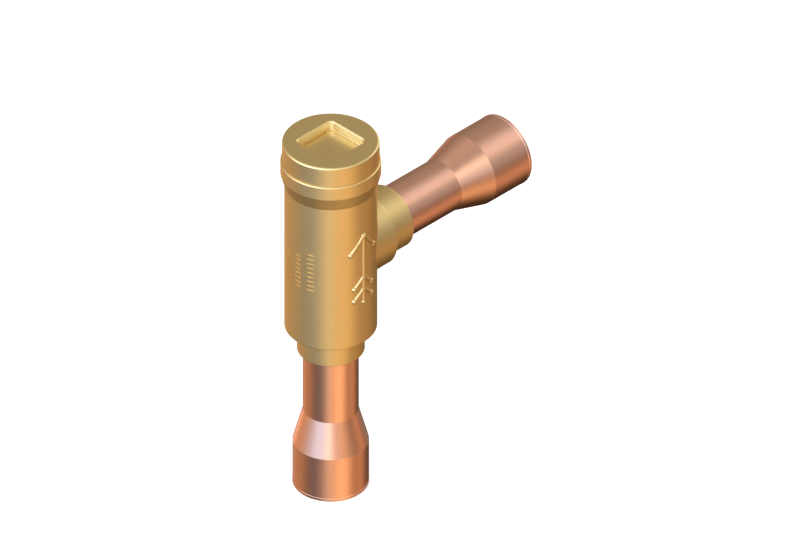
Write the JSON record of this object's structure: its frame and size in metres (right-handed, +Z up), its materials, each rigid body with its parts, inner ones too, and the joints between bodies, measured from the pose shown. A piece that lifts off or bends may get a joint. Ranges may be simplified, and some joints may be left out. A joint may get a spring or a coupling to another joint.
{
  "type": "refrigerant non-return valve",
  "caption": "Angle non-return valve: forged brass body, spring-loaded damping piston under a square-drive screw cap, and brazed copper socket ends at a right angle.",
  "frame": {"origin": "centre of the inlet cup's mouth, the lowest ring of the valve", "axes": "+Z up the inlet's axis, through the seat, piston and cap; +X along the outlet, away from the valve"},
  "size_m": [0.1163, 0.0396, 0.1626],
  "materials": {
    "brass": "satin, shot-blasted forging",
    "copper": "drawn copper, smooth",
    "steel": "turned stainless steel",
    "ptfe": "machined PTFE",
    "silver_alloy": "flowed silver brazing alloy",
    "gasket": "soft aluminium, turned"
  },
  "bodies": {
    "housing": {"valve_body": "brass", "screw_cap": "brass", "cap_gasket": "gasket", "inlet_stub": "copper", "outlet_stub": "copper", "inlet_braze_ring": "silver_alloy", "outlet_braze_ring": "silver_alloy", "piston_guide": "brass", "return_spring": "steel"},
    "valve_piston": {"piston": "steel", "piston_ring": "ptfe", "valve_plate": "ptfe", "plate_washer": "steel", "lock_washer": "steel", "plate_screw": "steel"}
  },
  "joints": [
    {"name": "piston_lift", "type": "slide", "parent": "housing", "child": "valve_piston", "axis": [0, 0, 1], "range_m": [0, 0.0079], "stiffness_N_per_m": 100, "springref_m": -0.015, "deforming": ["return_spring"]}
  ]
}
